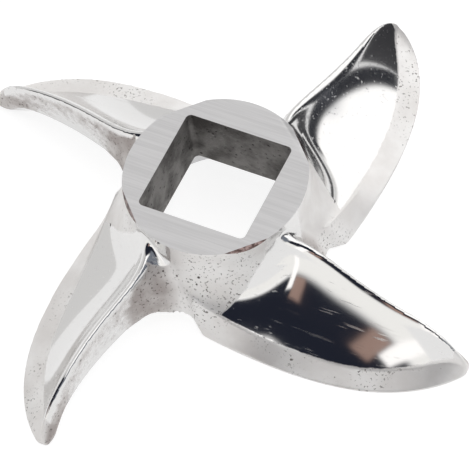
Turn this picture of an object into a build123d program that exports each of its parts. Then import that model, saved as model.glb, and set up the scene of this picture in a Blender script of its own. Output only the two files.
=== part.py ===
from build123d import *
import os

# Four-armed meat grinder knife for a 98 mm hole plate, one stainless casting.
# The axis of turning is Z. z = 0 is the cutting plane, where the ground lands
# sweep the hole plate. The hub rises to +Z. Each arm reaches out along its own
# +X and leads with the side that faces -Y. Units are millimetres.

ARMS = 4
ARM_PITCH = 360 / ARMS

# Hub: a short post that flares to its foot in a hollow curve
HUB_H = 16.2
HUB_TOP_R = 15.2
HUB_FOOT_R = 17.6
HUB_HOLLOW = 0.7
SEAM_TURN = 30.0

# Drive hole, cast square
DRIVE_SQUARE = 19.0
DRIVE_CORNER_R = 0.9

# Seat under the hub that clears the plate's stud
SEAT_WALL = 2.6
SEAT_R = HUB_FOOT_R - SEAT_WALL
SEAT_H = 4.45

# Flats that the polishing belt leaves on the hub's top edge, one above each bowl
FLAT_BITE = 0.45
FLAT_TILT = 32.0
FLAT_TURN = -45.0
FLAT_L = 16.0
FLAT_W = 5.0

# Underside: a land along each leading edge, cast with some stock and then ground
# flat, and behind it a relief that climbs to the foot of the trailing wall
RELIEF_H = 2.7
FOOT_SHARE = 0.38
LAND_EDGE_H = 0.3
LAND_STOCK = 1.0

# Heel: the plane that starts each land, turned from the arm's own Y
HEEL_X = 4.1
HEEL_Y = -18.4
HEEL_TURN = 38.0
HEEL_BLOCK = 12.0

# Crest rounding, full size where the crest is higher than CREST_FULL_H
CREST_FRONT = 0.95
CREST_BACK = 0.7
CREST_DROP = 0.75
CREST_FULL_H = 8.0
CREST_TOP = 0.45

# The arm runs from inside the hub to its tip
ROOT_X = 2.4
TIP_X = 47.7
ARM_SECTIONS = 22

# Guides along the arm: (share of the way from root to tip, size). Y sizes are
# distances from the arm's own X axis. RISE sizes are shares of the hub's height.
LEAD_Y = ((0, -19.1), (0.146, -20.4), (0.389, -21.2), (0.554, -20.9), (0.698, -19.8),
          (0.819, -17.7), (0.903, -15.4), (0.954, -13.4), (0.982, -12.0), (1, -10.9))
RIM_Y = ((0, -17.5), (0.146, -18.0), (0.389, -17.95), (0.554, -17.6), (0.698, -16.4),
         (0.819, -14.0), (0.903, -11.7), (0.954, -10.7), (0.982, -10.5), (1, -10.3))
RIM_RISE = ((0, 0.395), (0.146, 0.259), (0.256, 0.16), (0.389, 0.096), (0.554, 0.068), (0.698, 0.065),
            (0.819, 0.083), (0.903, 0.142), (0.954, 0.179), (0.982, 0.136), (1, 0.068))
CREST_Y = ((0, -13.8), (0.146, -9.6), (0.238, -5.2), (0.29, -4.1), (0.402, -5.0),
           (0.554, -7.1), (0.698, -8.5), (0.819, -9.1), (0.903, -9.4), (0.954, -9.7), (1, -9.9))
CREST_RISE = ((0, 0.556), (0.146, 0.86), (0.238, 0.93), (0.309, 0.815), (0.402, 0.716), (0.554, 0.654),
              (0.698, 0.586), (0.819, 0.5), (0.903, 0.401), (0.954, 0.296), (0.982, 0.198), (1, 0.099))
FOOT_Y = ((0, 3.4), (0.146, 5.0), (0.238, 5.4), (0.296, 3.6), (0.34, -1.0), (0.402, -4.4),
          (0.554, -6.6), (0.698, -8.0), (0.819, -8.5), (0.903, -8.4), (0.954, -8.2), (1, -8.9))
RELIEF_W = ((0, 12.0), (0.238, 13.4), (0.402, 8.0), (0.554, 6.2), (0.698, 4.2),
            (0.819, 2.2), (0.903, 0.9), (0.954, 0.4), (1, 0.2))
# Hollow of the bowl, as a share of its width. Below zero it swells, where the bowl
# runs up the hub in a wide fillet.
BOWL_SAG = ((0, -0.25), (0.05, -0.2), (0.146, -0.09), (0.238, 0.005), (0.29, 0.035), (0.34, 0.08),
            (0.402, 0.1), (0.554, 0.085), (0.819, 0.085), (0.954, 0.05), (1, 0.045))


def guide(points, share):
    """Size of a guide at a share of its length: a smooth cubic that never overshoots its points."""
    steps = [b[0] - a[0] for a, b in zip(points, points[1:])]
    rises = [(b[1] - a[1]) / step for a, b, step in zip(points, points[1:], steps)]
    slopes = [rises[0]]
    for left, right, before, after in zip(rises, rises[1:], steps, steps[1:]):
        from_left = 2 * after + before
        from_right = after + 2 * before
        turns = left * right <= 0
        slopes.append(0.0 if turns else (from_left + from_right) / (from_left / left + from_right / right))
    slopes.append(rises[-1])
    span = sum(share > point[0] for point in points[1:-1])
    t = (share - points[span][0]) / steps[span]
    ease = t * t * (3 - 2 * t)
    level = points[span][1] * (1 - ease) + points[span + 1][1] * ease
    lean = slopes[span] * t * (1 - t) ** 2 - slopes[span + 1] * t * t * (1 - t)
    return level + lean * steps[span]


def section(share):
    """Closed outline of the arm at a share of the way from root to tip."""
    x = ROOT_X + (TIP_X - ROOT_X) * share
    lead = guide(LEAD_Y, share)
    rim = (guide(RIM_Y, share), HUB_H * guide(RIM_RISE, share))
    crest = (guide(CREST_Y, share), HUB_H * guide(CREST_RISE, share))
    foot = (guide(FOOT_Y, share), min(RELIEF_H, crest[1] * FOOT_SHARE))
    relief = (foot[0] - guide(RELIEF_W, share) * (1 + LAND_STOCK / foot[1]), -LAND_STOCK)
    sag = guide(BOWL_SAG, share)
    rounding = min(1.0, crest[1] / CREST_FULL_H)
    front = (crest[0] - CREST_FRONT * rounding, crest[1] - CREST_DROP * rounding)
    back = (crest[0] + CREST_BACK * rounding, crest[1] - CREST_DROP * rounding)
    top_front = (crest[0] - CREST_FRONT * rounding * CREST_TOP, crest[1])
    top_back = (crest[0] + CREST_BACK * rounding * CREST_TOP, crest[1])
    hollow = (
        (front[0] + rim[0]) / 2 + (front[1] - rim[1]) * sag * 2,
        (front[1] + rim[1]) / 2 - (front[0] - rim[0]) * sag * 2,
    )

    def at(point):
        return Vector(x, point[0], point[1])

    return Wire([
        Edge.make_line(at(relief), at((lead, -LAND_STOCK))),
        Edge.make_line(at((lead, -LAND_STOCK)), at((lead, LAND_EDGE_H))),
        Edge.make_line(at((lead, LAND_EDGE_H)), at(rim)),
        Edge.make_bezier(at(rim), at(hollow), at(front)),
        Edge.make_line(at(front), at(top_front)),
        Edge.make_line(at(top_front), at(top_back)),
        Edge.make_line(at(top_back), at(back)),
        Edge.make_line(at(back), at(foot)),
        Edge.make_line(at(foot), at(relief)),
    ])


def around(solid):
    """The solid repeated once for each arm."""
    return [solid.rotate(Axis.Z, ARM_PITCH * k) for k in range(ARMS)]


# Arm, with its heel cut off square to the leading edge
arm = Solid.make_loft([section(k / (ARM_SECTIONS - 1)) for k in range(ARM_SECTIONS)])
heel_plane = Plane(
    origin=(HEEL_X, HEEL_Y, 0),
    x_dir=Vector(0, 1, 0).rotate(Axis.Z, HEEL_TURN),
    z_dir=Vector(-1, 0, 0).rotate(Axis.Z, HEEL_TURN),
)
heel = heel_plane * Pos(0, 0, HEEL_BLOCK / 2) * Box(HEEL_BLOCK, HEEL_BLOCK * 2, HEEL_BLOCK)
arm = arm.cut(heel.solid())

# Hub, joined to the arms
with BuildPart() as hub_build:
    with BuildSketch(Plane.XZ):
        with BuildLine():
            Line((0, RELIEF_H), (HUB_FOOT_R, RELIEF_H))
            ThreePointArc(
                (HUB_FOOT_R, RELIEF_H),
                ((HUB_FOOT_R + HUB_TOP_R) / 2 - HUB_HOLLOW, (HUB_H + RELIEF_H) / 2),
                (HUB_TOP_R, HUB_H),
            )
            Line((HUB_TOP_R, HUB_H), (0, HUB_H))
            Line((0, HUB_H), (0, RELIEF_H))
        make_face()
    revolve(axis=Axis.Z)
hub = hub_build.part.solid().rotate(Axis.Z, SEAM_TURN)
knife = hub.fuse(*around(arm))

# Lands ground to the cutting plane, and the seat
stock = Pos(0, 0, -LAND_STOCK) * Box(TIP_X * 3, TIP_X * 3, LAND_STOCK * 2)
knife = knife.cut(stock.solid())
knife = knife.cut(Solid.make_cylinder(SEAT_R, SEAT_H))

# Drive hole
with BuildPart() as drive:
    with BuildSketch():
        RectangleRounded(DRIVE_SQUARE, DRIVE_SQUARE, DRIVE_CORNER_R)
    extrude(amount=HUB_H * 2, both=True)
knife = knife.cut(drive.part.solid())

# Belt flats
flat_plane = Plane(
    origin=(HUB_TOP_R - FLAT_BITE, 0, HUB_H),
    x_dir=(0, 1, 0),
    z_dir=Vector(1, 0, 0).rotate(Axis.Y, -FLAT_TILT),
)
flat = flat_plane * Pos(0, 0, FLAT_W / 2) * Box(FLAT_L, FLAT_W, FLAT_W)
flat = flat.solid().rotate(Axis.Z, FLAT_TURN)
knife = knife.cut(*around(flat))

os.makedirs("parts", exist_ok=True)
export_step(knife, "parts/knife.step")
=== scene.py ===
import math

import bmesh
import bpy
import numpy as np
from mathutils import Matrix, Vector


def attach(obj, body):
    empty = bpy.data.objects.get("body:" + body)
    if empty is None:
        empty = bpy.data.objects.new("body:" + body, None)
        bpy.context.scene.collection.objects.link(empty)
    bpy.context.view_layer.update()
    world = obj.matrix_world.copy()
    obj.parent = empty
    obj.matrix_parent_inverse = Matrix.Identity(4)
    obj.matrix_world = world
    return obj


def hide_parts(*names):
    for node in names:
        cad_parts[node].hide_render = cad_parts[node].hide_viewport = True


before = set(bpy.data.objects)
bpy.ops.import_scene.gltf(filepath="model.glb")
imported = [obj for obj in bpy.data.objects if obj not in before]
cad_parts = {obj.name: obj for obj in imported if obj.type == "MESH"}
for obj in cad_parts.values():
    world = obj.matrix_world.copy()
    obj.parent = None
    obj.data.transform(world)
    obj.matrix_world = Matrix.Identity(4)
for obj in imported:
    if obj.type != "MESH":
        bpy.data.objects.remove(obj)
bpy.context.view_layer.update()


# ---------------------------------------------------------------- Knife, the casting
# The whole knife is one stainless investment casting: a flared hub and four
# swept arms that flow into it. Its form is worked out in millimetres as a
# distance to the blended hub and arms, so the polished bowls come out fair.
MM = 0.001
ARMS = 4
ARM_PITCH = 2 * math.pi / ARMS

# Hub: the side is a hollow curve through three radii, and a fillet joins the
# arms to it, wide low down and tight near the top.
HUB_H = 16.2
HUB_TOP_R = 15.2
HUB_MID_R = 15.7
HUB_FOOT_R = 17.6
HUB_LEAN = 0.98
HUB_EDGE_BLEND = 0.2
FILLET = (3.4, 0.7)
FILLET_Z = (10.0, 15.6)

# Arm: it leads with its -Y side and reaches out along +X.
ROOT_X = 2.4
TIP_X = 47.7
ROOT_BLEND = 0.4
TIP_BLEND = 0.5
LEAD_BLEND = 0.12
LAND_EDGE_H = 0.3
RIM_BLEND = 0.5
CREST_BLEND = 1.9
CREST_FRONT = 0.95
CREST_BACK = 0.7
CREST_DROP = 0.68
CREST_FULL_H = 8.0
RELIEF_H = 2.7
RELIEF_BLEND = 0.3
FOOT_SHARE = 0.38
HEEL_AT = (4.1, -18.4)
HEEL_TURN = math.radians(38.0)
HEEL_BLEND = 0.4

# Stock left on the underside and the hub's top, for grinding.
STOCK = 1.5
STOCK_BLEND = 0.1

# Guides along the arm: (share of the way from root to tip, size). Y sizes are
# distances from the arm's own X axis, RISE sizes are shares of the hub's
# height, and BOWL_SAG is the hollow of the bowl as a share of its width.
LEAD_Y = ((0, -19.1), (0.146, -20.4), (0.389, -21.2), (0.554, -20.9), (0.698, -19.8),
          (0.819, -17.7), (0.903, -15.4), (0.954, -13.4), (0.982, -12.0), (1, -10.9))
RIM_Y = ((0, -17.5), (0.146, -18.0), (0.389, -17.95), (0.554, -17.6), (0.698, -16.4),
         (0.819, -14.0), (0.903, -11.7), (0.954, -10.7), (0.982, -10.5), (1, -10.3))
RIM_RISE = ((0, 0.395), (0.146, 0.259), (0.256, 0.16), (0.389, 0.096), (0.554, 0.068), (0.698, 0.065),
            (0.819, 0.083), (0.903, 0.142), (0.954, 0.179), (0.982, 0.136), (1, 0.068))
CREST_Y = ((0, -13.8), (0.146, -9.6), (0.238, -5.2), (0.29, -4.1), (0.402, -5.0),
           (0.554, -7.1), (0.698, -8.5), (0.819, -9.1), (0.903, -9.4), (0.954, -9.7), (1, -9.9))
CREST_RISE = ((0, 0.556), (0.146, 0.86), (0.238, 0.93), (0.309, 0.815), (0.402, 0.716), (0.554, 0.654),
              (0.698, 0.586), (0.819, 0.5), (0.903, 0.401), (0.954, 0.296), (0.982, 0.198), (1, 0.099))
FOOT_Y = ((0, 3.4), (0.146, 5.0), (0.238, 5.4), (0.296, 3.6), (0.34, -1.0), (0.402, -4.4),
          (0.554, -6.6), (0.698, -8.0), (0.819, -8.5), (0.903, -8.4), (0.954, -8.2), (1, -8.9))
RELIEF_W = ((0, 12.0), (0.238, 13.4), (0.402, 8.0), (0.554, 6.2), (0.698, 4.2),
            (0.819, 2.2), (0.903, 0.9), (0.954, 0.4), (1, 0.2))
BOWL_SAG = ((0, 0.1), (0.238, 0.14), (0.402, 0.09), (0.554, 0.06),
            (0.7, 0.045), (0.819, 0.03), (0.954, 0.02), (1, 0.02))
STATIONS = np.linspace(0, 1, 401)
FAIRING_ROUNDS = 700
FAIRING_AT = (0, 0.6, 0.9, 1)
FAIRING = (0.45, 0.45, 0.07, 0.03)


def faired(points):
    """Guide sampled along the arm, its corners eased most at the root and least at the tip."""
    values = np.interp(STATIONS, [p[0] for p in points], [p[1] for p in points])
    ease = np.interp(STATIONS[1:-1], FAIRING_AT, FAIRING)
    for _ in range(FAIRING_ROUNDS):
        values[1:-1] += ease * (values[2:] - 2 * values[1:-1] + values[:-2])
    return values


GUIDES = {
    "lead": faired(LEAD_Y),
    "rim_y": faired(RIM_Y),
    "rim_z": faired(RIM_RISE) * HUB_H,
    "crest_y": faired(CREST_Y),
    "crest_z": faired(CREST_RISE) * HUB_H,
    "foot": faired(FOOT_Y),
    "relief": faired(RELIEF_W),
    "sag": faired(BOWL_SAG),
}


def guide(name, x):
    """A guide's size at a place along the arm."""
    return np.interp((x - ROOT_X) / (TIP_X - ROOT_X), STATIONS, GUIDES[name])


def joined(a, b, reach):
    """Union of two distances with a fillet of the given reach."""
    h = np.clip(0.5 + 0.5 * (b - a) / reach, 0, 1)
    return b + (a - b) * h - reach * h * (1 - h)


def common(a, b, reach):
    """Overlap of two distances with a rounded edge of the given reach."""
    return -joined(-a, -b, reach)


def across(y, z, start, end):
    """Distance from the line start-end in an arm's section, positive on its left."""
    dy = end[0] - start[0]
    dz = end[1] - start[1]
    return ((z - start[1]) * dy - (y - start[0]) * dz) / np.hypot(dy, dz)


def arm_faces(x, y, z):
    """Distances from an arm's leading face and its trailing wall, each as if it had no end."""
    rim = (guide("rim_y", x), guide("rim_z", x))
    crest = (guide("crest_y", x), guide("crest_z", x))
    foot = (guide("foot", x), np.minimum(RELIEF_H, crest[1] * FOOT_SHARE))
    rounding = np.minimum(1.0, crest[1] / CREST_FULL_H)
    front = (crest[0] - CREST_FRONT * rounding, crest[1] - CREST_DROP * rounding)
    back = (crest[0] + CREST_BACK * rounding, crest[1] - CREST_DROP * rounding)
    dy = front[0] - rim[0]
    dz = front[1] - rim[1]
    width = np.hypot(dy, dz)
    sag = guide("sag", x) * width
    radius = (width * width / 4 + sag * sag) / (2 * sag)
    centre_y = (front[0] + rim[0]) / 2 - dz / width * (radius - sag)
    centre_z = (front[1] + rim[1]) / 2 + dy / width * (radius - sag)
    bowl = radius - np.hypot(y - centre_y, z - centre_z)
    strip = across(y, z, (guide("lead", x), LAND_EDGE_H), rim)
    past = np.clip(0.5 + (y - rim[0]) / RIM_BLEND, 0, 1)
    past = past * past * (3 - 2 * past)
    return strip + (bowl - strip) * past, across(y, z, back, foot)


def arm_distance(x, y, z):
    """Distance from one arm's surface, in the arm's own frame."""
    crest_z = guide("crest_z", x)
    front_face, wall = arm_faces(x, y, z)
    body = common(front_face, wall, CREST_BLEND * np.minimum(1.0, crest_z / CREST_FULL_H))
    body = common(body, guide("lead", x) - y, LEAD_BLEND)
    foot = (guide("foot", x), np.minimum(RELIEF_H, crest_z * FOOT_SHARE))
    relief = across(y, z, foot, (foot[0] - guide("relief", x), 0.0 * x))
    body = common(body, relief, RELIEF_BLEND)
    body = common(body, -z - STOCK, STOCK_BLEND)
    heel = (HEEL_AT[0] - x) * math.cos(HEEL_TURN) + (HEEL_AT[1] - y) * math.sin(HEEL_TURN)
    body = common(body, heel, HEEL_BLEND)
    body = common(body, ROOT_X - x, ROOT_BLEND)
    return common(body, x - TIP_X, TIP_BLEND)


def hub_distance(x, y, z):
    """Distance from the hub with the stock on its top."""
    r = np.hypot(x, y)
    t = (z - RELIEF_H) / (HUB_H - RELIEF_H)
    top = 2 * (t - 0.5) * t * HUB_TOP_R
    side = 2 * (t - 0.5) * (t - 1) * HUB_FOOT_R + 4 * t * (1 - t) * HUB_MID_R + top
    body = common((r - side) * HUB_LEAN, RELIEF_H - z, HUB_EDGE_BLEND)
    return common(body, z - HUB_H - STOCK, HUB_EDGE_BLEND)


def in_arm_frames(x, y):
    """The places seen from each arm in turn, a quarter turn apart."""
    for k in range(ARMS):
        c = round(math.cos(ARM_PITCH * k))
        s = round(math.sin(ARM_PITCH * k))
        yield c * x + s * y, c * y - s * x


def casting_distance(points):
    """Distance from the blended casting, for an array of points in millimetres."""
    x, y, z = points.T
    total = hub_distance(x, y, z)
    reach = np.interp(z, FILLET_Z, FILLET)
    for arm_x, arm_y in in_arm_frames(x, y):
        total = joined(total, arm_distance(arm_x, arm_y, z), reach)
    return total


def slope_of(distance, points, step):
    """Slope of a distance at the points, by its change over a step either way."""
    slope = np.empty_like(points)
    for axis in range(3):
        nudge = np.zeros(3)
        nudge[axis] = step
        slope[:, axis] = distance(points + nudge) - distance(points - nudge)
    return slope / (2 * step)


# How the skin's points are drawn on to the casting.
VOXEL = 0.36
SLOPE_STEP = 0.02
LEAST_STEEP = 0.2
LONGEST_PULL = 0.6
FIRST_PULLS = 4
EASING_ROUNDS = 6
PULLS_A_ROUND = 2


def pulled_in(points, rounds):
    """The points moved along the slope of the distance until they lie on the surface."""
    for _ in range(rounds):
        slope = slope_of(casting_distance, points, SLOPE_STEP)
        pull = casting_distance(points) / np.maximum((slope * slope).sum(1), LEAST_STEEP)
        points = points - np.clip(pull, -LONGEST_PULL, LONGEST_PULL)[:, None] * slope
    return points


def only(obj):
    """Make one object the selected and active one."""
    bpy.ops.object.select_all(action="DESELECT")
    obj.select_set(True)
    bpy.context.view_layer.objects.active = obj


# A copy of the CAD solid, with its hole plugged and its ground faces moved out
# by the stock, gives the first skin.
PLUG_R = (16.0, 15.0)
PLUG_FOOT_Z = 3.3
PLUG_TOP_Z = 17.5
LEVEL_TOLERANCE = 0.01
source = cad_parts["knife"]
knife = source.copy()
knife.data = source.data.copy()
knife.name = "knife_casting"
bpy.context.collection.objects.link(knife)
only(knife)
bpy.ops.object.mode_set(mode="EDIT")
bpy.ops.mesh.select_all(action="SELECT")
bpy.ops.mesh.remove_doubles(threshold=1e-6)
bpy.ops.mesh.primitive_cone_add(
    vertices=96, radius1=PLUG_R[0] * MM, radius2=PLUG_R[1] * MM, depth=(PLUG_TOP_Z - PLUG_FOOT_Z) * MM,
    location=(0, 0, (PLUG_TOP_Z + PLUG_FOOT_Z) / 2 * MM),
)
bpy.ops.object.mode_set(mode="OBJECT")
for vertex in knife.data.vertices:
    if vertex.co.z < LEVEL_TOLERANCE * MM:
        vertex.co.z = -STOCK * MM
    elif vertex.co.z > (HUB_H - LEVEL_TOLERANCE) * MM:
        vertex.co.z = (HUB_H + STOCK) * MM
knife.data.remesh_voxel_size = VOXEL * MM
knife.data.remesh_voxel_adaptivity = 0
bpy.ops.object.voxel_remesh()


def places(mesh):
    """A mesh's points in millimetres."""
    points = np.empty(len(mesh.vertices) * 3)
    mesh.vertices.foreach_get("co", points)
    return points.reshape(-1, 3) / MM


# Each point is drawn on to the casting, and then eased between its neighbours
# and drawn back, which spreads the skin evenly.
points = places(knife.data)
count = len(points)
edges = np.empty(len(knife.data.edges) * 2, dtype=int)
knife.data.edges.foreach_get("vertices", edges)
edges = edges.reshape(-1, 2)
ends = np.concatenate([edges[:, 0], edges[:, 1]])
others = np.concatenate([edges[:, 1], edges[:, 0]])
neighbours = np.bincount(ends, minlength=count)
points = pulled_in(points, FIRST_PULLS)
for _ in range(EASING_ROUNDS):
    middle = np.stack([np.bincount(ends, points[others, i], count) for i in range(3)], 1)
    points = 0.5 * points + 0.5 * middle / neighbours[:, None]
    points = pulled_in(points, PULLS_A_ROUND)

# The points nearest the rims and crests move on to them, so that no face of
# the skin straddles an edge.
RIM = 0
CREST = 1
ON_ARM = 0.3
RIM_FROM_X = 5.0
CREST_FROM_X = 15.0
FAR_OFF = 9.0
EDGE_REACH = 1.2
EDGE_ROUNDS = 5
EDGE_STEP = 0.01
EDGE_OUTLIER = 1.0
EDGE_PULL = 0.2


def off_edges(points):
    """Signed distances from the nearest arm's rim and crest, for points on that arm."""
    off = np.full((2, len(points)), FAR_OFF)
    x, y, z = points.T
    for arm_x, arm_y in in_arm_frames(x, y):
        on_arm = np.abs(arm_distance(arm_x, arm_y, z)) < ON_ARM
        front_face, wall = arm_faces(arm_x, arm_y, z)
        by_rim = on_arm & (arm_x > RIM_FROM_X)
        by_crest = on_arm & (arm_x > CREST_FROM_X)
        off[RIM, by_rim] = (arm_y - guide("rim_y", arm_x))[by_rim]
        off[CREST, by_crest] = (front_face - wall)[by_crest]
    return off


on_edge = np.zeros((2, count), dtype=bool)
for line in (RIM, CREST):
    off = off_edges(points)[line]
    off_a = off[edges[:, 0]]
    off_b = off[edges[:, 1]]
    crossing = (off_a * off_b < 0) & (np.maximum(np.abs(off_a), np.abs(off_b)) < EDGE_REACH)
    nearer = np.where(np.abs(off_a) < np.abs(off_b), edges[:, 0], edges[:, 1])[crossing]
    held = np.unique(nearer)
    moved = points[held]
    for _ in range(EDGE_ROUNDS):
        value = off_edges(moved)[line]
        slope = slope_of(lambda at: off_edges(at)[line], moved, EDGE_STEP)
        pull = value / np.maximum((slope * slope).sum(1), LEAST_STEEP)
        pull = np.clip(np.where(np.abs(value) < EDGE_OUTLIER, pull, 0), -EDGE_PULL, EDGE_PULL)
        moved = pulled_in(moved - pull[:, None] * slope, 1)
    points[held] = moved
    on_edge[line, held] = True
knife.data.vertices.foreach_set("co", (points * MM).ravel())
knife.data.update()

# A face that such a line crosses from corner to corner is split along it.
skin_mesh = bmesh.new()
skin_mesh.from_mesh(knife.data)
for face in list(skin_mesh.faces):
    corners = face.verts[:]
    for line in (RIM, CREST):
        flags = [on_edge[line, corner.index] for corner in corners]
        if flags == [True, False, True, False]:
            bmesh.utils.face_split(face, corners[0], corners[2])
            break
        if flags == [False, True, False, True]:
            bmesh.utils.face_split(face, corners[1], corners[3])
            break
skin_mesh.to_mesh(knife.data)
skin_mesh.free()


# ---------------------------------------------------------------- Knife, the machining
# What is ground or cut after casting: the lands and the hub's top, the seat
# under the hub, the square drive hole, and four flats from the polishing belt.
GRIND_SPAN = 120.0
GRIND_DEPTH = 10.0
SEAT_R = 15.0
SEAT_H = 4.45
DRIVE_SQUARE = 19.0
DRIVE_CORNER_R = 0.9
DRIVE_TOOL_H = 60.0
FLAT_BITE = 0.45
FLAT_TILT = math.radians(32.0)
FLAT_TURN = math.radians(-45.0)
FLAT_L = 16.0
FLAT_W = 5.0
FINISHES = ("stainless_skin", "ground_stainless", "cast_bore_painted_shade", "belt_flat_painted_reflection")

materials = {name: bpy.data.materials.new(name) for name in FINISHES}
knife.data.materials.clear()
knife.data.materials.append(materials["stainless_skin"])


def cut_away(tool, finish):
    """Take the tool's volume out of the knife, leave its finish there and delete the tool."""
    tool.data.materials.append(materials[finish])
    cut = knife.modifiers.new("cut", "BOOLEAN")
    cut.operation = "DIFFERENCE"
    cut.solver = "MANIFOLD"
    cut.material_mode = "TRANSFER"
    cut.object = tool
    only(knife)
    bpy.ops.object.modifier_apply(modifier="cut")
    bpy.data.objects.remove(tool)


# Grinding: the lands on the cutting plane, the hub's top, then the seat.
for height in (-GRIND_DEPTH / 2, HUB_H + GRIND_DEPTH / 2):
    bpy.ops.mesh.primitive_cube_add(
        size=1, location=(0, 0, height * MM), scale=(GRIND_SPAN * MM, GRIND_SPAN * MM, GRIND_DEPTH * MM),
    )
    cut_away(bpy.context.object, "ground_stainless")
bpy.ops.mesh.primitive_cylinder_add(vertices=128, radius=SEAT_R * MM, depth=2 * SEAT_H * MM)
cut_away(bpy.context.object, "ground_stainless")

# Drive hole: a square bar with its four long edges rounded.
bpy.ops.mesh.primitive_cube_add(size=1, scale=(DRIVE_SQUARE * MM, DRIVE_SQUARE * MM, DRIVE_TOOL_H * MM))
bar = bpy.context.object
bpy.ops.object.transform_apply(location=True, rotation=True, scale=True)
bpy.ops.object.mode_set(mode="EDIT")
bpy.ops.mesh.select_mode(type="EDGE")
bpy.ops.mesh.select_all(action="DESELECT")
bpy.ops.object.mode_set(mode="OBJECT")
for edge in bar.data.edges:
    a, b = (bar.data.vertices[i].co for i in edge.vertices)
    edge.select = abs(a.z - b.z) > HUB_H * MM
bpy.ops.object.mode_set(mode="EDIT")
bpy.ops.mesh.bevel(offset=DRIVE_CORNER_R * MM, offset_type="OFFSET", segments=8, affect="EDGES")
bpy.ops.object.mode_set(mode="OBJECT")
cut_away(bar, "cast_bore_painted_shade")

# Belt flats: a tilted block bites the hub's top edge above each bowl.
for k in range(ARMS):
    bpy.ops.mesh.primitive_cube_add(size=1)
    flat = bpy.context.object
    at_edge = Matrix.Translation(((HUB_TOP_R - FLAT_BITE) * MM, 0, HUB_H * MM))
    place = Matrix.Rotation(ARM_PITCH * k + FLAT_TURN, 4, "Z") @ at_edge
    place = place @ Matrix.Rotation(-FLAT_TILT, 4, "Y") @ Matrix.Translation((FLAT_W / 2 * MM, 0, 0))
    flat.data.transform(place @ Matrix.Diagonal((FLAT_W * MM, FLAT_L * MM, FLAT_W * MM, 1)))
    cut_away(flat, "belt_flat_painted_reflection")


# ---------------------------------------------------------------- Knife, the finishes
# The polisher works on the bowls alone, past the rim, below the crest and clear
# of the hub; the rims are left satin and the walls behind the crests as cast.
# The skin keeps the casting's true slope wherever a tool hasn't cut it.
SMOOTH_ANGLE = math.radians(30)
SKIN = 0
mesh = knife.data
points = places(mesh)
slopes = slope_of(casting_distance, points, SLOPE_STEP)
slopes /= np.maximum(np.linalg.norm(slopes, axis=1), 1e-9)[:, None]
only(knife)
bpy.ops.object.shade_smooth_by_angle(angle=SMOOTH_ANGLE)
corners = np.empty(len(mesh.loops) * 3)
mesh.corner_normals.foreach_get("vector", corners)
corners = corners.reshape(-1, 3)
corner_points = np.empty(len(mesh.loops), dtype=int)
mesh.loops.foreach_get("vertex_index", corner_points)
corner_counts = np.empty(len(mesh.polygons), dtype=int)
mesh.polygons.foreach_get("loop_total", corner_counts)
finish_of = np.empty(len(mesh.polygons), dtype=int)
mesh.polygons.foreach_get("material_index", finish_of)
is_skin = np.repeat(finish_of == SKIN, corner_counts)
corners[is_skin] = slopes[corner_points[is_skin]]
mesh.normals_split_custom_set(corners.tolist())

# Where the polish stops on an arm: just past the rim, just over the crest, which
# it leaves near the hub to climb towards it, beside the hub and short of the tip.
# Each LEAN turns a distance across the arm into one square to that limit.
RIM_GAP = 0.22
RIM_LEAN = 0.95
OVER_CREST = 0.75
CLIMB_X = 17.5
CLIMB_RISE = 1.7
CLIMB_LEAN = 0.5
HUB_LIMIT_Y = (-17.8, -13.3, -9.5, -6.5)
HUB_LIMIT_X = (7.8, 10.5, 12.3, 13.2)
HUB_LIMIT_LEAN = 0.8
TIP_LIMIT_X = 45.7
UNPOLISHED = -20.0


def polish_depth(x, y):
    """How far a place lies inside the polished bowl of the arm, in millimetres."""
    past_rim = (y - guide("rim_y", x)) * RIM_LEAN - RIM_GAP
    climb = guide("crest_y", CLIMB_X) + (CLIMB_X - x) * CLIMB_RISE
    over = guide("crest_y", x) + OVER_CREST
    below_crest = np.where(x < CLIMB_X, (climb - y) * CLIMB_LEAN, over - y)
    off_hub = (x - np.interp(y, HUB_LIMIT_Y, HUB_LIMIT_X)) * HUB_LIMIT_LEAN
    return np.minimum(np.minimum(past_rim, below_crest), np.minimum(off_hub, TIP_LIMIT_X - x))


# Where the trailing wall is left as cast: behind the crest and away from the hub.
WALL_GAP = 0.5
WALL_FROM_X = 13.0
WALL_FADE = 5.0
WALL_NEAR = 1.3
WALL_FALL = 0.9


def wall_share(x, y, z):
    """One on the arm's trailing wall, fading out towards its crest and the hub."""
    front_face, wall = arm_faces(x, y, z)
    behind = wall - front_face - WALL_GAP
    on_arm = np.clip(WALL_NEAR - np.abs(arm_distance(x, y, z)) * WALL_FALL, 0, 1)
    return np.clip(np.minimum(behind, (x - WALL_FROM_X) / WALL_FADE), 0, 1) * on_arm


x, y, z = points.T
polish = np.full(len(points), UNPOLISHED)
wall = np.zeros(len(points))
for arm_x, arm_y in in_arm_frames(x, y):
    polish = np.maximum(polish, polish_depth(arm_x, arm_y))
    wall = np.maximum(wall, wall_share(arm_x, arm_y, z))
mesh.attributes.new("polish", "FLOAT", "POINT").data.foreach_set("value", polish)
mesh.attributes.new("wall", "FLOAT", "POINT").data.foreach_set("value", wall)


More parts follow.
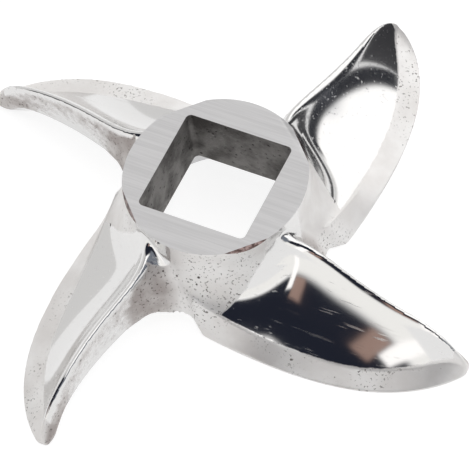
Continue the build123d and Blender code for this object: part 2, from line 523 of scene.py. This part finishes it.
class Value:
    """A shader number: arithmetic on it adds Math nodes to its material."""

    def __init__(self, tree, socket):
        self.tree = tree
        self.socket = socket

    def math(self, operation, *others, swap=False, clamp=False):
        """The number that a Math node makes of this one and the others."""
        node = self.tree.nodes.new("ShaderNodeMath")
        node.operation = operation
        node.use_clamp = clamp
        terms = (self,) + others
        if swap:
            terms = terms[::-1]
        for slot, term in zip(node.inputs, terms):
            if isinstance(term, Value):
                self.tree.links.new(term.socket, slot)
            else:
                slot.default_value = term
        return Value(self.tree, node.outputs[0])

    def __add__(self, other):
        return self.math("ADD", other)

    def __radd__(self, other):
        return self.math("ADD", other)

    def __sub__(self, other):
        return self.math("SUBTRACT", other)

    def __rsub__(self, other):
        return self.math("SUBTRACT", other, swap=True)

    def __mul__(self, other):
        return self.math("MULTIPLY", other)

    def __rmul__(self, other):
        return self.math("MULTIPLY", other)

    def __truediv__(self, other):
        return self.math("DIVIDE", other)

    def ramp(self, low, high):
        """Zero below low, one above high, and a soft step between."""
        t = ((self - low) / (high - low)).math("MULTIPLY", 1.0, clamp=True)
        return t * t * (3 - 2 * t)


class Surface:
    """Node tree of one finish, or of the room."""

    def __init__(self, tree):
        self.tree = tree

    def feed(self, slot, value):
        """Link a value to a socket, or set the socket to a constant."""
        if isinstance(value, Value):
            value = value.socket
        if isinstance(value, bpy.types.NodeSocket):
            self.tree.links.new(value, slot)
        else:
            slot.default_value = value

    def node(self, kind, settings=None, **inputs):
        """Add a node: its type, its settings, and values or links for its sockets."""
        node = self.tree.nodes.new("ShaderNode" + kind)
        for name, value in (settings or {}).items():
            setattr(node, name, value)
        for name, value in inputs.items():
            self.feed(node.inputs[name.replace("_", " ")], value)
        return node

    def value(self, node, output=0):
        """A node's output as a number."""
        return Value(self.tree, node.outputs[output])

    def noise(self, place, scale, detail=3.0, roughness=0.55):
        """Cloudy noise, with its scale in lumps to the metre."""
        node = self.node("TexNoise", None, Vector=place, Scale=scale, Detail=detail, Roughness=roughness)
        return self.value(node, "Fac")

    def grain(self, place, turn, scale, detail):
        """Noise stretched along a direction turned about Z by some degrees."""
        turned = self.node("Mapping", None, Vector=place, Rotation=(0, 0, math.radians(turn)), Scale=scale)
        return self.noise(turned.outputs[0], 1.0, detail)

    def mix(self, factor, a, b):
        """Colour a where the factor is zero, and b where it is one."""
        node = self.node("Mix", {"data_type": "RGBA"})
        for slot, value in ((node.inputs[0], factor), (node.inputs[6], a), (node.inputs[7], b)):
            self.feed(slot, value)
        return node.outputs[2]


def finish_nodes(name):
    """One finish's nodes, the sockets of its shader and the place on the knife."""
    material = materials[name]
    material.use_nodes = True
    surface = Surface(material.node_tree)
    shader = material.node_tree.nodes["Principled BSDF"].inputs
    return surface, shader, surface.node("TexCoord").outputs["Object"]


# Casting skin: mirror bowls with a little haze and fine scratches, satin rims,
# dull cast walls coloured darker, partly as painted shade, and the pits of the casting left open wherever
# no one polished.
MIRROR = (0.70, 0.695, 0.69, 1)
SATIN_DARK = (0.74, 0.72, 0.705, 1)
SATIN_PALE = (0.84, 0.83, 0.82, 1)
# Cast wall colours: an as-cast grey, darkened further as painted shade of the walls' dark reflections.
CAST_DARK_SHADED = (0.34, 0.30, 0.285, 1)
CAST_PALE_SHADED = (0.58, 0.555, 0.54, 1)
PIT_BLACK = (0.10, 0.085, 0.075, 1)
WALL_CAST_AND_SHADE = 0.9
POLISH_WANDER = 0.35
PITS_PER_M = 520
PIT_SPREAD = 0.24
PIT_LEAST = 0.03
SPECKS_PER_M = 2300
SPECK_DEPTH = 0.75
CLUSTERS_PER_M = 75
WALL_CLUSTERING = 0.2
MIRROR_ROUGHNESS = 0.06
HAZE_ROUGHNESS = 0.08
SCRATCH_ROUGHNESS = 0.2
SATIN_ROUGHNESS = 0.42
GRAIN_ROUGHNESS = 0.16
PIT_ROUGHNESS = 0.3
SATIN_METAL = 0.55
GRAIN_HEIGHT = 0.25
SKIN_BUMP = 0.35
SKIN_BUMP_DEPTH = 0.12 * MM

surface, shader, place = finish_nodes("stainless_skin")
inside = surface.value(surface.node("Attribute", {"attribute_name": "polish"}), "Fac")
wall = surface.value(surface.node("Attribute", {"attribute_name": "wall"}), "Fac")
bowl = (inside + (surface.noise(place, 700, 2) - 0.5) * POLISH_WANDER).ramp(-0.05, 0.2)

cells = surface.node("TexVoronoi", {"feature": "F1"}, Vector=place, Scale=PITS_PER_M, Randomness=1.0)
chance = surface.value(surface.node("SeparateColor", None, Color=cells.outputs["Color"]), 0)
gathered = surface.noise(place, CLUSTERS_PER_M, 2) + WALL_CLUSTERING * wall
pit_size = (chance - 0.5) * PIT_SPREAD * gathered.ramp(0.42, 0.66) + PIT_LEAST
pit_depth = 1 - (surface.value(cells, "Distance") / (pit_size + 0.02)).ramp(0.6, 1.1)
pits = pit_depth * chance.ramp(0.48, 0.53) * gathered.ramp(0.42, 0.5)
specks = surface.noise(place, SPECKS_PER_M, 2).ramp(0.60, 0.67) * gathered.ramp(0.46, 0.62)
open_pits = pits.math("MAXIMUM", specks * SPECK_DEPTH) * (1 - bowl)

tone = surface.noise(place, 160, 4)
ground_satin = surface.mix(tone.ramp(0.3, 0.7), SATIN_DARK, SATIN_PALE)
# The walls' mottled colour is as-cast tone and painted shade together.
cast_satin_and_painted_shade = surface.mix(tone.ramp(0.35, 0.65), CAST_DARK_SHADED, CAST_PALE_SHADED)
satin = surface.mix(wall * WALL_CAST_AND_SHADE, ground_satin, cast_satin_and_painted_shade)
skin = surface.mix(bowl, satin, MIRROR)
surface.feed(shader["Base Color"], surface.mix(open_pits, skin, PIT_BLACK))

haze = surface.noise(place, 60, 3)
scratches = surface.grain(place, 35, (90, 1500, 1500), 2).ramp(0.62, 0.72)
scratches = scratches.math("MAXIMUM", surface.grain(place, -50, (110, 1900, 1900), 2).ramp(0.64, 0.74))
satin_grain = surface.grain(place, 20, (300, 1400, 1400), 3)
bowl_roughness = MIRROR_ROUGHNESS + HAZE_ROUGHNESS * haze + SCRATCH_ROUGHNESS * scratches
satin_roughness = SATIN_ROUGHNESS + GRAIN_ROUGHNESS * satin_grain
roughness = satin_roughness + (bowl_roughness - satin_roughness) * bowl + PIT_ROUGHNESS * open_pits
surface.feed(shader["Roughness"], roughness)
surface.feed(shader["Metallic"], SATIN_METAL + (1 - SATIN_METAL) * bowl)
relief = satin_grain * (1 - bowl) * GRAIN_HEIGHT - open_pits
bump = surface.node("Bump", None, Strength=SKIN_BUMP, Distance=SKIN_BUMP_DEPTH, Height=relief)
surface.feed(shader["Normal"], bump.outputs[0])

# Ground faces: the hub's top, the lands and the seat, brushed one way.
GROUND_DARK = (0.60, 0.595, 0.60, 1)
GROUND_PALE = (0.68, 0.675, 0.68, 1)
GROUND_ROUGHNESS = 0.34
LINE_ROUGHNESS = 0.12
LINE_HEIGHT = 0.5
GROUND_METAL = 0.8
GROUND_BUMP = 0.2
GROUND_BUMP_DEPTH = 0.05 * MM
surface, shader, place = finish_nodes("ground_stainless")
grain = surface.grain(place, 62, (60, 2600, 400), 4)
lines = surface.grain(place, 58, (30, 900, 200), 3)
surface.feed(shader["Base Color"], surface.mix(grain.ramp(0.3, 0.7), GROUND_DARK, GROUND_PALE))
surface.feed(shader["Roughness"], GROUND_ROUGHNESS + LINE_ROUGHNESS * lines)
surface.feed(shader["Metallic"], GROUND_METAL)
brushed = grain + lines * LINE_HEIGHT
bump = surface.node("Bump", None, Strength=GROUND_BUMP, Distance=GROUND_BUMP_DEPTH, Height=brushed)
surface.feed(shader["Normal"], bump.outputs[0])

# Bore: left as cast, dull, blotched and grainy, and coloured darker as painted shade inside the hole.
BORE_DARK = (0.10, 0.093, 0.088, 1)
BORE_PALE = (0.25, 0.24, 0.23, 1)
BORE_HOLE = (0.025, 0.02, 0.018, 1)
BORE_ROUGHNESS = 0.5
GRIT_ROUGHNESS = 0.25
BORE_METAL = 0.85
HOLE_DEPTH = 0.6
BORE_BUMP = 0.7
BORE_BUMP_DEPTH = 0.2 * MM
surface, shader, place = finish_nodes("cast_bore_painted_shade")
grit = surface.noise(place, 1500, 5, 0.7)
blotch = surface.noise(place, 220, 4)
cells = surface.node("TexVoronoi", {"feature": "F1"}, Vector=place, Scale=900, Randomness=1.0)
holes = 1 - surface.value(cells, "Distance").ramp(0.12, 0.3)
# Blotched as-cast tone, made darker as painted shade of the hole's inside.
bore_tone_and_shade = surface.mix(blotch.ramp(0.35, 0.65), BORE_DARK, BORE_PALE)
surface.feed(shader["Base Color"], surface.mix(holes * grit.ramp(0.45, 0.6), bore_tone_and_shade, BORE_HOLE))
surface.feed(shader["Roughness"], BORE_ROUGHNESS + GRIT_ROUGHNESS * grit)
surface.feed(shader["Metallic"], BORE_METAL)
rough_cast = grit - holes * HOLE_DEPTH
bump = surface.node("Bump", None, Strength=BORE_BUMP, Distance=BORE_BUMP_DEPTH, Height=rough_cast)
surface.feed(shader["Normal"], bump.outputs[0])

# Belt flats: a bite at the hub's edge, coloured dark and warm with specks as a painted reflection.
FLAT_REFLECTION_DARK = (0.10, 0.065, 0.06, 1)
FLAT_REFLECTION_WARM = (0.36, 0.27, 0.255, 1)
FLAT_ROUGHNESS = 0.28
surface, shader, place = finish_nodes("belt_flat_painted_reflection")
# The specked dark-to-warm colour is a painted dark reddish reflection, not the steel's own colour.
specks = surface.noise(place, 1400, 3).ramp(0.4, 0.62)
surface.feed(shader["Base Color"], surface.mix(specks, FLAT_REFLECTION_DARK, FLAT_REFLECTION_WARM))
surface.feed(shader["Roughness"], FLAT_ROUGHNESS)
surface.feed(shader["Metallic"], 1)

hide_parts("knife")
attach(knife, "root")


# ---------------------------------------------------------------- Table, light and camera
# A pale matt table under a large soft light, in a studio that is white all
# round and dark on the side where the camera stands.
TABLE_SPAN = 4.0
PAPER = (0.28, 0.28, 0.28, 1)
PAPER_GLOW = 0.83


def matt(name, colour):
    """A material with no shine, and the sockets of its shader."""
    material = bpy.data.materials.new(name)
    material.use_nodes = True
    shader = material.node_tree.nodes["Principled BSDF"].inputs
    shader["Base Color"].default_value = colour
    shader["Roughness"].default_value = 1
    return material, shader


bpy.ops.mesh.primitive_plane_add(size=TABLE_SPAN, location=(0, 0, 0))
table = bpy.context.object
table.name = "table"
paper, shader = matt("table_paper", PAPER)
shader["Specular IOR Level"].default_value = 0
shader["Emission Color"].default_value = (1, 1, 1, 1)
shader["Emission Strength"].default_value = PAPER_GLOW
table.data.materials.append(paper)

# A black card lies beside the far arm. Only the knife's mirrors see it.
CARD_AT = (70, 92, 0.3)
CARD_SIZE = (122, 98)
CARD_BLACK = (0.03, 0.03, 0.035, 1)
bpy.ops.mesh.primitive_plane_add(size=1, location=[side * MM for side in CARD_AT])
card = bpy.context.object
card.name = "black_card"
card.data.transform(Matrix.Diagonal((CARD_SIZE[0] * MM, CARD_SIZE[1] * MM, 1, 1)))
card.visible_camera = False
card.visible_diffuse = False
card.visible_shadow = False
card.data.materials.append(matt("card_black", CARD_BLACK)[0])

# The room is painted by direction: its bearing from +X, and its rise above the
# table, both in degrees.
ROOM_WHITE = (0.84, 0.835, 0.83, 1)
WINDOW_WHITE = (1.5, 1.49, 1.48, 1)
NAVY = (0.018, 0.021, 0.034, 1)
SHELF_CREAM = (1.2, 1.19, 1.16, 1)
COAT_BROWN = (0.42, 0.285, 0.24, 1)
STRIP_WHITE = (1.5, 1.47, 1.45, 1)
FAR_GREY = (0.22, 0.24, 0.28, 1)
GAP_DARK = (0.035, 0.037, 0.045, 1)
CORNER_DARK = (0.12, 0.13, 0.16, 1)

world = bpy.data.worlds.new("studio")
bpy.context.scene.world = world
world.use_nodes = True
room = Surface(world.node_tree)
toward = room.node("SeparateXYZ", None, Vector=room.node("TexCoord").outputs["Generated"])
east = room.value(toward, 0)
north = room.value(toward, 1)
upward = room.value(toward, 2)
bearing = north.math("ARCTAN2", east) * (180 / math.pi)
rise = upward.math("ARCSINE") * (180 / math.pi)


def between(angle, low, high, soft):
    """One where the angle is between two limits, fading over a soft width at each."""
    return angle.ramp(low - soft, low + soft) * (1 - angle.ramp(high - soft, high + soft))


def painted(light, colour, bearings, rises, soft):
    """The room with a panel of one colour between two bearings and two rises."""
    panel = between(bearing, *bearings, soft[0]) * between(rise, *rises, soft[1])
    return room.mix(panel, light, colour)


light = painted(ROOM_WHITE, WINDOW_WHITE, (-75, 88), (6, 100), (10, 4))
light = painted(light, NAVY, (-165, -15), (17, 84), (12, 4))
light = painted(light, SHELF_CREAM, (-150, -20), (-25, 14), (10, 3))
light = painted(light, COAT_BROWN, (-107, -94), (18, 41), (2, 2.5))
light = painted(light, STRIP_WHITE, (-93, -80), (-8, 32), (2, 2))
light = painted(light, FAR_GREY, (-40, 17), (5, 40), (6, 8))
light = painted(light, GAP_DARK, (12, 56), (-4, 12), (6, 2.5))
light = painted(light, CORNER_DARK, (-20, 14), (-4, 9), (6, 3))
background = world.node_tree.nodes["Background"].inputs
room.feed(background["Color"], light)
background["Strength"].default_value = 1.0

KEY_AT = Vector((-0.3, 0.4, 1.8))
KEY_SPAN = 1.8
KEY_WATTS = 12
bpy.ops.object.light_add(type="AREA", location=KEY_AT)
key = bpy.context.object
key.data.shape = "SQUARE"
key.data.size = KEY_SPAN
key.data.energy = KEY_WATTS
key.visible_glossy = False
key.rotation_euler = (-KEY_AT).to_track_quat("-Z", "Y").to_euler()

# A long lens looks down steeply at the knife, and frames it closely.
AZIMUTH = 0.6023
ELEVATION = 0.9725
ROLL = -0.1902
DISTANCE = 0.60984
AIM_H = 4.473
AIM_RIGHT = 0.0022
AIM_DOWN = 0.0056
FOCAL_PX = 3721.5
PICTURE_PX = 470
SENSOR = 36
back = Vector((
    math.sin(AZIMUTH) * math.cos(ELEVATION),
    -math.cos(AZIMUTH) * math.cos(ELEVATION),
    math.sin(ELEVATION),
))
right = Vector((math.cos(AZIMUTH), math.sin(AZIMUTH), 0))
up = right.cross(-back)
ahead = (-back + AIM_RIGHT * right - AIM_DOWN * up).normalized()
right = (right - right.dot(ahead) * ahead).normalized()
up = right.cross(ahead)
rolled_right = math.cos(ROLL) * right + math.sin(ROLL) * up
rolled_up = -math.sin(ROLL) * right + math.cos(ROLL) * up
camera_data = bpy.data.cameras.new("camera")
camera_data.sensor_width = SENSOR
camera_data.lens = FOCAL_PX / PICTURE_PX * SENSOR
camera_data.clip_start = 0.01
camera = bpy.data.objects.new("camera", camera_data)
bpy.context.collection.objects.link(camera)
axes = Matrix((rolled_right, rolled_up, -ahead)).transposed().to_4x4()
camera.matrix_world = Matrix.Translation(back * DISTANCE + Vector((0, 0, AIM_H * MM))) @ axes
bpy.context.scene.camera = camera
bpy.context.scene.view_settings.view_transform = "Standard"
